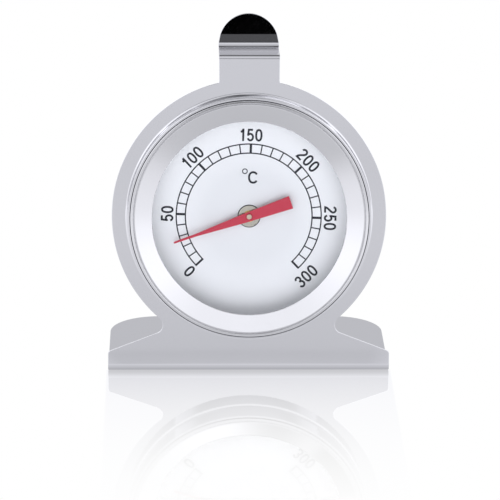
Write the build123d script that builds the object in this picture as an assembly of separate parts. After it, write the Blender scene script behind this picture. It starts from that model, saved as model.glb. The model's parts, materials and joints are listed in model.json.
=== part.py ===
from build123d import *
import os
from math import sin, cos, tan, radians, degrees, atan2, hypot, sqrt, asin, pi

# Oven thermometer: a folded stainless stand with a drawn collar, a crimped dial case in it, and a bimetal movement.
# Millimetres. +Z up, +Y to the rear, origin under the middle of the whole object on the surface it stands on.

# ---- driving dimensions ----
SHEET = 0.5            # stand sheet thickness
LEAN = 7.8             # backward lean of the face plate, degrees
FOOT_HALF = 30.0       # half-width of the foot
BASE_DEPTH = 37.2      # base plate, front fold to rear edge
BASE_REAR_HALF = 29.9  # half-width of the base plate at the rear
BASE_CORNER_R = 10.6   # rear corner radius of the base plate
FOLD_R = 1.35          # mid-sheet radius of the front fold
DIAL_V = 33.76         # dial centre above the fold, measured up the plate
DISC_R = 29.15         # radius of the round part of the face plate
NECK_HALF = 6.4        # half-width of the neck
CREST_V = 68.0         # sharp corner of the top fold, measured up the plate
CREST_R = 0.65         # mid-sheet radius of the top fold
HEEL_R = 1.5           # mid-sheet radius where the step turns up into the tongue
STEP_LEN = 8.5         # hook step, front to rear
STEP_FALL = 2.0        # fall of the hook step to the rear, degrees
TONGUE_LEN = 7.4       # tongue above the step
TONGUE_LEAN = 15.5     # backward lean of the tongue, degrees
TONGUE_HALF = 6.4      # half-width of the tongue
EAR_V = 4.5            # top of the foot's outer edge, measured up the plate
EAR_IN = (20.8, 8.0)   # where the slanted foot edge starts its fillet (u, v)
COLLAR_R = 25.8        # outer radius of the drawn collar
COLLAR_TOP = 4.9       # height of the collar in front of the plate
COLLAR_ROOT = 0.5      # fillet at the collar's root

BEZEL_SKIRT_R = 25.27  # outer radius of the bezel skirt
BEZEL_T = 0.4          # bezel sheet
WINDOW_R = 20.6       # radius of the window
GLASS_R = 24.5
GLASS_BACK = 1.9
GLASS_FRONT = 3.4
DIAL_R = 24.5
DIAL_FRONT = 0.2
DIAL_BACK = -0.2
CASE_R = 24.8          # case rim radius
CASE_BODY_R = 22.8     # case body radius behind the step
CASE_T = 0.5
CASE_STEP = -2.05      # step of the case
CASE_BACK = -6.8
VENTS, VENT_R, VENT_PITCH_R = 8, 1.7, 12.0

SPINDLE_R = 0.55
SPINDLE_FRONT, SPINDLE_REAR = 1.58, -5.75
RUN_CLEAR = 0.04       # radial clearance of the two bearings
POINTER_REST = 250.7   # pointer direction at rest, degrees clockwise from the top
POINTER_TIP, POINTER_TAIL = 16.9, 9.4
COIL_T, COIL_LOW, COIL_HIGH = 0.3, -3.9, -1.8
COIL_IN, COIL_PITCH, COIL_HALF_TURNS = 1.45, 0.8, 14
BRIDGE_W, BRIDGE_T = 6.0, 0.6

os.makedirs("parts", exist_ok=True)
T = radians(LEAN)
ct, st = cos(T), sin(T)

# Front-most point is the lower front of the bezel bead; the rear-most is the base plate's rear edge.
BEAD_R, BEAD_C = 0.25, (24.85, 4.85)     # bead section radius and centre (radius, height)
y_front = (DIAL_V - BEAD_C[0]) * st - BEAD_C[1] * ct - BEAD_R
Y0 = -(y_front + BASE_DEPTH) / 2         # fold line's place in the part's frame

# plate frame: origin at the dial centre on the plate's front face, z outwards, y up the plate
FACE = Plane(origin=(0, Y0 + DIAL_V * st, DIAL_V * ct), x_dir=(1, 0, 0), z_dir=(0, -ct, st))


def on_face(shape):
    return FACE.location * shape


def turned(points, arcs=()):
    """Solid of revolution about the dial axis from a closed outline of (radius, height)."""
    line = Polyline(*[(r, w) for r, w in points], close=True)
    return revolve(Plane.XZ * make_face(line), Axis.Z)


def disc(r, low, high, hole=0.0):
    body = Pos(0, 0, low) * extrude(Circle(r), high - low)
    if hole:
        body -= Pos(0, 0, low - 1) * extrude(Circle(hole), high - low + 2)
    return body


# ---- stand bracket ----
def strip_outline(pts, radii, half):
    """Closed outline of a folded strip: pts is the mid-sheet line with sharp corners, radii the mid-sheet radii."""
    left, right = [], []
    n = len(pts)
    for side, out in ((half, left), (-half, right)):
        prev = None
        for i, p in enumerate(pts):
            if i in (0, n - 1):
                q = pts[1] if i == 0 else pts[n - 2]
                d = ((q[0] - p[0]), (q[1] - p[1])) if i == 0 else ((p[0] - q[0]), (p[1] - q[1]))
                L = hypot(*d)
                nrm = (-d[1] / L, d[0] / L)
                out.append(("p", (p[0] + nrm[0] * side, p[1] + nrm[1] * side)))
                continue
            a, b = pts[i - 1], pts[i + 1]
            d1 = ((p[0] - a[0]), (p[1] - a[1])); L1 = hypot(*d1); d1 = (d1[0] / L1, d1[1] / L1)
            d2 = ((b[0] - p[0]), (b[1] - p[1])); L2 = hypot(*d2); d2 = (d2[0] / L2, d2[1] / L2)
            cross = d1[0] * d2[1] - d1[1] * d2[0]
            turn = atan2(cross, d1[0] * d2[0] + d1[1] * d2[1])
            R = radii[i - 1]
            tl = R * tan(abs(turn) / 2)
            s = 1 if turn > 0 else -1
            t1 = (p[0] - d1[0] * tl, p[1] - d1[1] * tl)
            c = (t1[0] - d1[1] * R * s, t1[1] + d1[0] * R * s)
            r = R - s * side
            a1 = atan2(t1[1] - c[1], t1[0] - c[0])
            for k, ang in enumerate((a1, a1 + turn / 2, a1 + turn)):
                out.append(("a" if k == 1 else "p", (c[0] + r * cos(ang), c[1] + r * sin(ang))))
    edges = []

    def run(seq):
        i = 0
        while i < len(seq) - 1:
            if seq[i + 1][0] == "a":
                edges.append(ThreePointArc(seq[i][1], seq[i + 1][1], seq[i + 2][1]))
                i += 2
            else:
                edges.append(Line(seq[i][1], seq[i + 1][1]))
                i += 1

    run(left)
    edges.append(Line(left[-1][1], right[-1][1]))
    run(right[::-1])
    edges.append(Line(right[0][1], left[0][1]))
    return edges


h = SHEET / 2
# sharp-cornered mid-sheet line in (y, z) with the outer faces through the fold line
plate_dir = (st, ct)
plate_in = (ct, -st)                      # from the front face into the sheet


def meet(p, d, q, e):
    k = ((q[0] - p[0]) * e[1] - (q[1] - p[1]) * e[0]) / (d[0] * e[1] - d[1] * e[0])
    return (p[0] + d[0] * k, p[1] + d[1] * k)


mid0 = (plate_in[0] * h, plate_in[1] * h)                 # a point on the plate's mid line
m1 = meet(mid0, plate_dir, (0, h), (1, 0))                # base / plate corner
crest = (CREST_V * st, CREST_V * ct)
sa = radians(STEP_FALL)
step_dir = (cos(sa), -sin(sa))
step_in = (-sin(sa), -cos(sa))
m2 = meet(mid0, plate_dir, (crest[0] + step_in[0] * h, crest[1] + step_in[1] * h), step_dir)
ta = radians(TONGUE_LEAN)
tongue_dir = (sin(ta), cos(ta))
tongue_in = (cos(ta), -sin(ta))
corner3 = (crest[0] + STEP_LEN * step_dir[0], crest[1] + STEP_LEN * step_dir[1])
m3 = meet((corner3[0] + tongue_in[0] * h, corner3[1] + tongue_in[1] * h), tongue_dir,
          (crest[0] + step_in[0] * h, crest[1] + step_in[1] * h), step_dir)
m4 = (m3[0] + tongue_dir[0] * TONGUE_LEN, m3[1] + tongue_dir[1] * TONGUE_LEN)
mids = [(BASE_DEPTH, h), m1, m2, m3, m4]
outline = strip_outline(mids, [FOLD_R, CREST_R, HEEL_R], h)
strip = extrude(Plane.YZ * make_face(outline), FOOT_HALF + 1, both=True)

# keep-regions that trim the folded strip to its blank outline
NOTCH_R, EAR_R = 1.9, 0.7
dl = hypot(FOOT_HALF - EAR_IN[0], EAR_IN[1] - EAR_V)
sd = (-(FOOT_HALF - EAR_IN[0]) / dl, (EAR_IN[1] - EAR_V) / dl)      # along the slanted edge, inwards
sn = (sd[1], -sd[0])                                                # its upward normal
# notch fillet: centre is NOTCH_R above the slanted edge and DISC_R + NOTCH_R from the dial centre
px, pv = FOOT_HALF + sn[0] * NOTCH_R, EAR_V + sn[1] * NOTCH_R - DIAL_V
pb = px * sd[0] + pv * sd[1]
pk = -pb - sqrt(pb * pb - (px * px + pv * pv - (DISC_R + NOTCH_R) ** 2))
nc = (px + sd[0] * pk, pv + sd[1] * pk + DIAL_V)
t_line = (nc[0] - sn[0] * NOTCH_R, nc[1] - sn[1] * NOTCH_R)
q = DISC_R / (DISC_R + NOTCH_R)
t_disc = (nc[0] * q, DIAL_V + (nc[1] - DIAL_V) * q)
mid = ((t_line[0] + t_disc[0]) / 2 - nc[0], (t_line[1] + t_disc[1]) / 2 - nc[1])
ml = hypot(*mid)
t_mid = (nc[0] + mid[0] / ml * NOTCH_R, nc[1] + mid[1] / ml * NOTCH_R)
# ear corner
turn_ = atan2(abs(sd[0]), sd[1])
el_ = EAR_R * tan(turn_ / 2)
e1_ = (FOOT_HALF, EAR_V - el_)
e2_ = (FOOT_HALF + sd[0] * el_, EAR_V + sd[1] * el_)
ec_ = (FOOT_HALF - EAR_R, EAR_V - el_)
em = ((e1_[0] + e2_[0]) / 2 - ec_[0], (e1_[1] + e2_[1]) / 2 - ec_[1])
eml = hypot(*em)
e_mid = (ec_[0] + em[0] / eml * EAR_R, ec_[1] + em[1] / eml * EAR_R)
neck_v = DIAL_V + sqrt(DISC_R ** 2 - NECK_HALF ** 2)
top_v = CREST_V + 4
a_mid = radians(5)
disc_mid = (DISC_R * cos(a_mid), DIAL_V + DISC_R * sin(a_mid))


def mirrored(p):
    return (-p[0], p[1])


with BuildSketch() as trim_s:
    with BuildLine():
        Line((-FOOT_HALF, -4), (FOOT_HALF, -4))
        for m in (lambda p: p, mirrored):
            Line(m((FOOT_HALF, -4)), m(e1_))
            ThreePointArc(m(e1_), m(e_mid), m(e2_))
            Line(m(e2_), m(t_line))
            ThreePointArc(m(t_line), m(t_mid), m(t_disc))
            ThreePointArc(m(t_disc), m(disc_mid), m((NECK_HALF, neck_v)))
            Line(m((NECK_HALF, neck_v)), m((NECK_HALF, top_v)))
        Line((-NECK_HALF, top_v), (NECK_HALF, top_v))
    make_face()
trim = trim_s.sketch
SLANT = Plane(origin=(0, 0, 0), x_dir=(1, 0, 0), z_dir=(0, -ct, st))
plate_keep = SLANT.location * (Pos(0, 0, -3.2) * extrude(trim, 5.0))
# the plate's keep-region ends at the crest: clear of the step and the tongue
base_pts = [(-FOOT_HALF, 1.2), (FOOT_HALF, 1.2), (BASE_REAR_HALF, BASE_DEPTH), (-BASE_REAR_HALF, BASE_DEPTH)]
base2 = make_face(Polyline(*base_pts, close=True))
base2 = fillet([v for v in base2.vertices() if v.Y > 20], BASE_CORNER_R)
base_keep = Pos(0, 0, -1) * extrude(base2, 2.6)
# hook: the step is as wide as the neck at the crest and widens to the tongue
t_top = m4[1]
tongue2 = Pos(0, -5) * Rectangle(2 * TONGUE_HALF, 10 + 2 * (TONGUE_LEN - TONGUE_HALF)) + Pos(0, TONGUE_LEN - TONGUE_HALF) * Circle(TONGUE_HALF)
TONG = Plane(origin=(0, m3[0], m3[1]), x_dir=(1, 0, 0), z_dir=(0, -cos(ta), sin(ta)))
tongue_keep = TONG.location * (Pos(0, 0, -2) * extrude(tongue2, 4.0))
tongue_keep &= Pos(0, m3[0], m3[1] + 10 - 0.3) * Box(40, 40, 20)
step_keep = Pos(0, m2[0] - 0.1 + (STEP_LEN + 1.4) / 2, (m2[1] + m3[1]) / 2) * Box(2 * TONGUE_HALF, STEP_LEN + 1.4, 2.6)
neck_round = Pos(0, m2[0], m2[1]) * Box(2 * NECK_HALF, 3.0, 3.0)
bracket = strip & (plate_keep + base_keep + tongue_keep + step_keep + neck_round)
if len(bracket.solids()) > 1:
    bracket = sorted(bracket.solids(), key=lambda s: s.volume)[-1]
bracket = Pos(0, Y0, 0) * bracket

# drawn collar round the dial
R0, CT_ = COLLAR_R, COLLAR_TOP
cf, cb = COLLAR_ROOT, COLLAR_ROOT + SHEET
hole = on_face(disc(R0 + cf, -2, 2))
bracket = bracket - hole
with BuildSketch(Plane.XZ) as col:
    with BuildLine():
        Line((R0 + cf, 0), (R0 + cf, -SHEET))
        l1 = CenterArc((R0 - SHEET + cb, -SHEET + cb), cb, 180, 90)
        Line((R0 - SHEET, -SHEET + cb), (R0 - SHEET, CT_ - 0.18))
        CenterArc((R0 - SHEET + 0.18, CT_ - 0.18), 0.18, 180, -90)
        Line((R0 - SHEET + 0.18, CT_), (R0 - 0.18, CT_))
        CenterArc((R0 - 0.18, CT_ - 0.18), 0.18, 90, -90)
        Line((R0, CT_ - 0.18), (R0, cf))
        CenterArc((R0 + cf, cf), cf, 180, 90)
    make_face()
collar = revolve(col.sketch, Axis.Z)
stand_bracket = bracket + on_face(collar)

# ---- dial case ----
bt = BEZEL_T
br, (bc, bw) = BEAD_R, BEAD_C
with BuildSketch(Plane.XZ) as bez:
    with BuildLine():
        SR, SI = BEZEL_SKIRT_R, BEZEL_SKIRT_R - bt
        Line((SR, -2.15), (SR, 4.1))
        Line((SR, 4.1), (bc + br, 4.5))
        Line((bc + br, 4.5), (bc + br, bw))
        CenterArc((bc, bw), br, 0, 150)
        Line((bc - br * cos(radians(30)), bw + br * 0.5), (24.56, 4.83))
        Line((24.56, 4.83), (24.46, 4.84))
        Line((24.46, 4.84), (24.36, 4.98))
        Line((24.36, 4.98), (24.2, 4.99))
        Line((24.2, 4.99), (20.85, 4.03))
        Line((20.85, 4.03), (20.66, 3.93))
        Line((20.66, 3.93), (WINDOW_R, 3.78))
        Line((WINDOW_R, 3.78), (WINDOW_R, GLASS_FRONT + 0.03))
        Line((WINDOW_R, GLASS_FRONT + 0.03), (20.95, GLASS_FRONT + 0.03))
        Line((20.95, GLASS_FRONT + 0.03), (21.1, 3.67))
        Line((21.1, 3.67), (24.2, 4.56))
        Line((24.2, 4.56), (24.6, 4.45))
        Line((24.6, 4.45), (SI, 4.2))
        Line((SI, 4.2), (SI, CASE_STEP))
        Line((SI, CASE_STEP), (23.7, CASE_STEP))
        Line((23.7, CASE_STEP), (23.7, CASE_STEP - bt))
        Line((23.7, CASE_STEP - bt), (SR - 0.3, CASE_STEP - bt))
        Line((SR - 0.3, CASE_STEP - bt), (SR, -2.15))
    make_face()
bezel_ring = on_face(revolve(bez.sketch, Axis.Z))

gc = 0.15
glass_lens = on_face(turned([(0, GLASS_BACK), (GLASS_R - gc, GLASS_BACK), (GLASS_R, GLASS_BACK + gc), (GLASS_R, GLASS_FRONT - gc), (GLASS_R - gc, GLASS_FRONT), (0, GLASS_FRONT)]))
glass_spacer_ring = on_face(disc(GLASS_R, DIAL_FRONT, GLASS_BACK, 21.7))
BUSH_R = 1.6
dial_plate = on_face(disc(DIAL_R, DIAL_BACK, DIAL_FRONT, BUSH_R))

ct_ = CASE_T
with BuildSketch(Plane.XZ) as cup:
    with BuildLine():
        ro, rb = CASE_R, CASE_BODY_R
        f = 1.2
        Line((ro - ct_, DIAL_BACK), (ro, DIAL_BACK))
        Line((ro, DIAL_BACK), (ro, CASE_STEP))
        Line((ro, CASE_STEP), (rb, CASE_STEP))
        Line((rb, CASE_STEP), (rb, CASE_BACK + f))
        CenterArc((rb - f, CASE_BACK + f), f, 0, -90)
        Line((rb - f, CASE_BACK), (0, CASE_BACK))
        Line((0, CASE_BACK), (0, CASE_BACK + ct_))
        Line((0, CASE_BACK + ct_), (rb - f, CASE_BACK + ct_))
        CenterArc((rb - f, CASE_BACK + f), f - ct_, -90, 90)
        Line((rb - ct_, CASE_BACK + f), (rb - ct_, CASE_STEP + ct_))
        Line((rb - ct_, CASE_STEP + ct_), (ro - ct_, CASE_STEP + ct_))
        Line((ro - ct_, CASE_STEP + ct_), (ro - ct_, DIAL_BACK))
    make_face()
case_cup = revolve(cup.sketch, Axis.Z)
RIVET_U, RIVET_R = 13.2, 1.0
for i in range(VENTS):
    a = radians(360 / VENTS * (i + 0.5))
    case_cup -= Pos(VENT_PITCH_R * cos(a), VENT_PITCH_R * sin(a), CASE_BACK - 1) * extrude(Circle(VENT_R), 3)
for s in (-1, 1):
    case_cup -= Pos(s * RIVET_U, 0, CASE_BACK - 1) * extrude(Circle(RIVET_R), 3)
case_cup = on_face(case_cup)

# split ring that presses the bezel skirt's collar fit from behind
ring = disc(27.6, -SHEET - 0.6, -SHEET, BEZEL_SKIRT_R)
ring -= Pos(0, -26, -1) * Box(2.4, 6, 4)
case_retaining_ring = on_face(ring)

# ---- movement ----
BORE = SPINDLE_R + RUN_CLEAR
bush = disc(2.3, DIAL_FRONT, DIAL_FRONT + 0.3) + disc(BUSH_R, DIAL_BACK - 0.7, DIAL_FRONT)
bush = chamfer(bush.edges().filter_by(GeomType.CIRCLE).sort_by(Axis.Z)[-1:], 0.08)
bush -= disc(BORE, -3, 3)
dial_bush = on_face(bush)
bush_lock_washer = on_face(disc(2.7, DIAL_BACK - 0.4, DIAL_BACK, BUSH_R))
W0 = DIAL_FRONT + 0.3
thrust_washer = on_face(disc(1.25, W0, W0 + 0.12, BORE))
HUB0 = W0 + 0.12 + 0.04                  # 0.04 end float
HUB1 = HUB0 + 0.34
POINTER_T = 0.3
pointer_hub = on_face(disc(1.1, HUB0, HUB1, SPINDLE_R))

pa = radians(POINTER_REST)
pdir = (sin(pa), cos(pa))                # along the pointer, dial seen from the front
pts = [(POINTER_TIP, 0.2), (11.8, 0.29), (0.8, 1.0), (-1.0, 1.06), (-POINTER_TAIL, 1.4)]
side1 = [(a, b) for a, b in pts]
side2 = [(a, -b) for a, b in reversed(pts)]
perp = (-pdir[1], pdir[0])
poly = [(a * pdir[0] + b * perp[0], a * pdir[1] + b * perp[1]) for a, b in side1 + side2]
needle = Pos(0, 0, HUB1) * extrude(make_face(Polyline(*poly, close=True)), POINTER_T)
needle -= disc(SPINDLE_R, -3, 3)
pointer = on_face(needle)

GROOVE = (-5.55, -5.3)
sp = disc(SPINDLE_R, SPINDLE_REAR, SPINDLE_FRONT)
sp -= disc(SPINDLE_R + 0.5, GROOVE[0], GROOVE[1], 0.38)
spindle = on_face(sp)
clip = disc(1.25, GROOVE[0], GROOVE[1], 0.38)
clip -= Pos(0, -1.2, GROOVE[0] - 0.5) * Box(0.7, 2.4, 3)
spindle_clip = on_face(clip)

# bridge: hat-shaped strip across the case floor, carrying the rear bearing and the coil's anchor
FLOOR = CASE_BACK + ct_
RAISE_LOW = -5.1
foot_in, foot_out, ramp = 10.2, 15.6, 0.8
zf, zr, bt_ = FLOOR, RAISE_LOW, BRIDGE_T
hat = [(-foot_out, zf), (-foot_in, zf), (-foot_in + ramp, zr), (foot_in - ramp, zr), (foot_in, zf), (foot_out, zf),
       (foot_out, zf + bt_), (foot_in - 0.0 + 0.25, zf + bt_), (foot_in - ramp + 0.25, zr + bt_), (-foot_in + ramp - 0.25, zr + bt_), (-foot_in - 0.25, zf + bt_), (-foot_out, zf + bt_)]
bridge = extrude(Plane.XZ * make_face(Polyline(*hat, close=True)), BRIDGE_W / 2, both=True)
ends = bridge.edges().filter_by(Axis.Z).sort_by(Axis.X)
bridge = fillet(ends[:2] + ends[-2:], 2.2)
PIV_R = 1.5
bridge -= disc(PIV_R, -8, 0)
POST_R, POST_U = 0.55, COIL_IN + COIL_PITCH / 2 * COIL_HALF_TURNS
bridge -= Pos(POST_U, 0, 0) * disc(POST_R * 0.75, -8, 0)
for s in (-1, 1):
    bridge -= Pos(s * RIVET_U, 0, 0) * disc(RIVET_R, -9, 0)
movement_bridge = on_face(bridge)
piv = disc(PIV_R, RAISE_LOW, RAISE_LOW + BRIDGE_T) + disc(2.1, RAISE_LOW + BRIDGE_T, RAISE_LOW + BRIDGE_T + 0.3)
piv -= disc(BORE, -9, 0)
rear_pivot_bush = on_face(piv)
rivets = []
for s in (-1, 1):
    shank = disc(RIVET_R, CASE_BACK, FLOOR + BRIDGE_T)
    low = Pos(0, 0, CASE_BACK - 0.45) * extrude(Circle(1.7), 0.45)
    low = fillet(low.edges().sort_by(Axis.Z)[:1], 0.35)
    high = Pos(0, 0, FLOOR + BRIDGE_T) * extrude(Circle(1.6), 0.4)
    rivets.append(Pos(s * RIVET_U, 0, 0) * (shank + low + high))
bridge_rivets = on_face(Compound(children=[r.solids()[0] for r in rivets]))

# coil: half-turn arcs about two centres a half pitch apart, so each meets the next tangentially
d = COIL_PITCH / 2
inner, outer = [], []
hw = COIL_T / 2
outer_e, inner_e = [], []
for k in range(COIL_HALF_TURNS):
    cx = 0.0 if k % 2 == 0 else d
    r = COIL_IN + d * k
    # even half-turns run over the top from +u to -u, odd ones under the bottom back to +u
    a0 = 0 if k % 2 == 0 else 180
    outer_e.append((cx, r + hw, a0))
    inner_e.append((cx, r - hw, a0))
with BuildSketch() as coil2:
    with BuildLine():
        for cx, r, a0 in outer_e:
            CenterArc((cx, 0), r, a0, 180)
        for cx, r, a0 in inner_e:
            CenterArc((cx, 0), r, a0, 180)
        s0, s1 = inner_e[0], outer_e[0]
        Line((s0[1], 0), (s1[1], 0))
        e0, e1 = inner_e[-1], outer_e[-1]
        Line((e0[0] + e0[1], 0), (e1[0] + e1[1], 0))
    make_face()
COIL_END_U = (e0[0] + e0[1] + e1[0] + e1[1]) / 2   # the strip's outer end, welded in the post's slot
assert abs(COIL_END_U - POST_U) < 1e-6
coil = extrude(coil2.sketch, COIL_HIGH - COIL_LOW)
bimetal_coil = on_face(Pos(0, 0, COIL_LOW) * coil)
# arbor: a sleeve on the spindle inside the coil's first turn, where the strip's inner end is welded
arbor = disc(COIL_IN - hw - 0.03, COIL_LOW - 0.15, COIL_HIGH + 0.25, SPINDLE_R)
coil_arbor = on_face(arbor)
# post: stands at the coil's outer end, slotted for the strip
PU = COIL_END_U
post = Pos(PU, 0, 0) * (disc(POST_R, RAISE_LOW + BRIDGE_T, COIL_HIGH + 0.35) + disc(POST_R * 0.75, RAISE_LOW, RAISE_LOW + BRIDGE_T))
post -= Pos(PU, -0.2, COIL_LOW + 3) * Box(COIL_T + 0.14, 2.2, 6.04)
coil_anchor_post = on_face(post)

NODES = dict(
    stand_bracket=stand_bracket, bezel_ring=bezel_ring, glass_lens=glass_lens, glass_spacer_ring=glass_spacer_ring,
    dial_plate=dial_plate, case_cup=case_cup, case_retaining_ring=case_retaining_ring, dial_bush=dial_bush,
    bush_lock_washer=bush_lock_washer, thrust_washer=thrust_washer, pointer_hub=pointer_hub, pointer=pointer,
    spindle=spindle, spindle_clip=spindle_clip, movement_bridge=movement_bridge, rear_pivot_bush=rear_pivot_bush,
    bridge_rivets=bridge_rivets, bimetal_coil=bimetal_coil, coil_arbor=coil_arbor, coil_anchor_post=coil_anchor_post,
)
for f_ in os.listdir("parts"):
    if f_.endswith(".step"):
        os.remove(os.path.join("parts", f_))
for name, shape in NODES.items():
    n = len(shape.solids())
    bb = shape.bounding_box()
    print(f"{name:22s} solids {n} vol {shape.volume:9.2f}  x {bb.min.X:7.2f} {bb.max.X:7.2f}  y {bb.min.Y:7.2f} {bb.max.Y:7.2f}  z {bb.min.Z:7.2f} {bb.max.Z:7.2f}")
    export_step(shape, f"parts/{name}.step")
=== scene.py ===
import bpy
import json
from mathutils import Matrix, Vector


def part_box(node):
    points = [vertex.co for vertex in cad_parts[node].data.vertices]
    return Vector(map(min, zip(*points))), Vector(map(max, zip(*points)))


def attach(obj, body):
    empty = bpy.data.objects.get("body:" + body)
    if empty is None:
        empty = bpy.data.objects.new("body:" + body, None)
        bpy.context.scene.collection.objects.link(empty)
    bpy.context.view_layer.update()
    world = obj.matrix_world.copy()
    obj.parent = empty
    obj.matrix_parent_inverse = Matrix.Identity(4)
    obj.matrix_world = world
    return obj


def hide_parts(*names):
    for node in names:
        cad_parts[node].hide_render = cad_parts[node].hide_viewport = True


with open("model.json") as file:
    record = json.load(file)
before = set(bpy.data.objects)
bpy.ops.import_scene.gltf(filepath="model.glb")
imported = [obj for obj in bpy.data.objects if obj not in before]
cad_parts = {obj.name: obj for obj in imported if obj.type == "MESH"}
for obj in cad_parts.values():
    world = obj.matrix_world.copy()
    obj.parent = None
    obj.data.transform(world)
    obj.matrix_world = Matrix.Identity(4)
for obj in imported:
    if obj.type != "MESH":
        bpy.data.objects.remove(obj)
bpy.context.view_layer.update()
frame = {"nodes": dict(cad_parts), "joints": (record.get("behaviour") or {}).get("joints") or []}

import json
import math
from math import sin, cos, tan, pi, radians, atan2, hypot, sqrt

import bpy
import bmesh
from mathutils import Matrix, Vector

MM = 0.001
scene = bpy.context.scene
STAND, NEEDLE = "stand_and_case", "pointer_assembly"

# ------------------------------------------------------------------ the frame's own axes and sizes
joint = frame["joints"][0]
axis_in = Vector(joint["axis"])                 # into the dial
PIVOT = Vector(joint["pos_m"]) / MM             # dial centre on the plate's front face, mm
LEAN = math.asin(-axis_in.z)
CT, ST = cos(LEAN), sin(LEAN)
DIAL_V = PIVOT.z / CT
Y0 = PIVOT.y - DIAL_V * ST                      # fold line

lo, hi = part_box("stand_bracket")
BASE_REAR = hi.y / MM - Y0                      # base depth from the fold
FOOT_HALF = hi.x / MM
SHEET = 0.5
H = SHEET / 2
FOLD_R, CREST_R, HEEL_R = 1.35, 0.65, 1.5
DISC_R, NECK_HALF, CREST_V = 29.15, 6.4, 68.0
STEP_LEN, STEP_FALL, TONGUE_LEN, TONGUE_LEAN, TONGUE_HALF = 8.5, radians(2.0), 7.4, radians(15.5), 6.4
EAR_V, EAR_IN, EAR_R, NOTCH_R = 4.5, (20.8, 8.0), 0.7, 1.9
BASE_REAR_HALF, BASE_CORNER_R = 29.9, 10.6
COLLAR_R, COLLAR_TOP, COLLAR_ROOT = 25.8, 4.9, 0.5
ROOT_R = COLLAR_R + COLLAR_ROOT
SKIRT_R, BEZEL_T, WINDOW_R = 25.27, 0.4, 20.6
GLASS_R, GLASS_BACK, GLASS_FRONT = 24.5, 1.9, 3.4
DIAL_R, DIAL_FRONT, DIAL_BACK = 24.5, 0.2, -0.2


def face(u, v, w):
    """Dial coordinates in mm (right, up the plate, outwards) to the row frame in metres."""
    return Vector((u, PIVOT.y + v * ST - w * CT, PIVOT.z + v * CT + w * ST)) * MM


def face_dir(u, v, w):
    return Vector((u, v * ST - w * CT, v * CT + w * ST))


# ------------------------------------------------------------------ mesh helpers
def make_mesh(name, verts, faces, normals=None, smooth=True):
    me = bpy.data.meshes.new(name)
    me.from_pydata([tuple(v) for v in verts], [], faces)
    me.validate(clean_customdata=False)
    me.update()
    if smooth:
        me.polygons.foreach_set("use_smooth", [True] * len(me.polygons))
    if normals is not None:
        me.normals_split_custom_set_from_vertices([tuple(n) for n in normals])
    ob = bpy.data.objects.new(name, me)
    scene.collection.objects.link(ob)
    return ob


def arc(cx, cy, r, a0, a1, n):
    """Points and outward normals of an arc, degrees; a negative r turns the normals inwards."""
    out = []
    for i in range(n + 1):
        a = radians(a0 + (a1 - a0) * i / n)
        s = 1 if r > 0 else -1
        out.append((cx + abs(r) * cos(a), cy + abs(r) * sin(a), s * cos(a), s * sin(a)))
    return out


def seg(p, q, n=1):
    """A straight run of a profile, with its left-hand normal."""
    d = (q[0] - p[0], q[1] - p[1])
    L = hypot(*d)
    nx, ny = -d[1] / L, d[0] / L
    return [(p[0] + d[0] * i / n, p[1] + d[1] * i / n, nx, ny) for i in range(n + 1)]


def rounded(points, radii, arcs=6):
    """Closed profile through sharp points, each corner rounded by its radius, with normals to the right of travel's left.
    points run so that the material is on the right hand; the normals point to the left, out of the material."""
    out = []
    n = len(points)
    for i in range(n):
        p, a, b = points[i], points[i - 1], points[(i + 1) % n]
        d1 = (p[0] - a[0], p[1] - a[1]); L1 = hypot(*d1); d1 = (d1[0] / L1, d1[1] / L1)
        d2 = (b[0] - p[0], b[1] - p[1]); L2 = hypot(*d2); d2 = (d2[0] / L2, d2[1] / L2)
        turn = atan2(d1[0] * d2[1] - d1[1] * d2[0], d1[0] * d2[0] + d1[1] * d2[1])
        r = radii[i] if isinstance(radii, (list, tuple)) else radii
        if r <= 0 or abs(turn) < 1e-3:
            out.append((p[0], p[1], -d1[1], d1[0]))
            out.append((p[0], p[1], -d2[1], d2[0]))
            continue
        tl = min(r * tan(abs(turn) / 2), L1 * 0.49, L2 * 0.49)
        r = tl / tan(abs(turn) / 2)
        s = 1 if turn > 0 else -1
        t1 = (p[0] - d1[0] * tl, p[1] - d1[1] * tl)
        c = (t1[0] - d1[1] * r * s, t1[1] + d1[0] * r * s)
        k = max(2, arcs)
        for j in range(k + 1):
            f = turn * j / k
            nx, ny = -d1[1], d1[0]
            nn = (nx * cos(f) - ny * sin(f), nx * sin(f) + ny * cos(f))
            out.append((c[0] - nn[0] * r * s, c[1] - nn[1] * r * s, nn[0], nn[1]))
    return out


def lathe(name, profile, seg_n=256, closed=True, place=True):
    """Turns a (radius, height, normal r, normal h) profile round the dial axis, with exact normals."""
    verts, normals, faces, index = [], [], [], []
    put, pdir = (face, face_dir) if place else ((lambda u, v, w: Vector((u, v, w)) * MM), (lambda u, v, w: Vector((u, v, w))))
    for (r, h, nr, nh) in profile:
        if r < 1e-6:
            index.append([len(verts)] * seg_n)
            verts.append(put(0, 0, h)); normals.append(pdir(0, 0, 1 if nh > 0 else -1))
        else:
            row = []
            for j in range(seg_n):
                a = 2 * pi * j / seg_n
                row.append(len(verts))
                verts.append(put(r * cos(a), r * sin(a), h))
                normals.append(pdir(nr * cos(a), nr * sin(a), nh))
            index.append(row)
    m = len(profile)
    for i in range(m if closed else m - 1):
        a, b = index[i], index[(i + 1) % m]
        pa, pb = profile[i], profile[(i + 1) % m]
        if hypot(pa[0] - pb[0], pa[1] - pb[1]) < 1e-7:
            continue
        for j in range(seg_n):
            k = (j + 1) % seg_n
            q = [a[j], b[j], b[k], a[k]]
            q2 = []
            for x in q:
                if x not in q2:
                    q2.append(x)
            if len(q2) > 2:
                faces.append(q2)
    ob = make_mesh(name, verts, faces, normals)
    return weld(ob)


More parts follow.
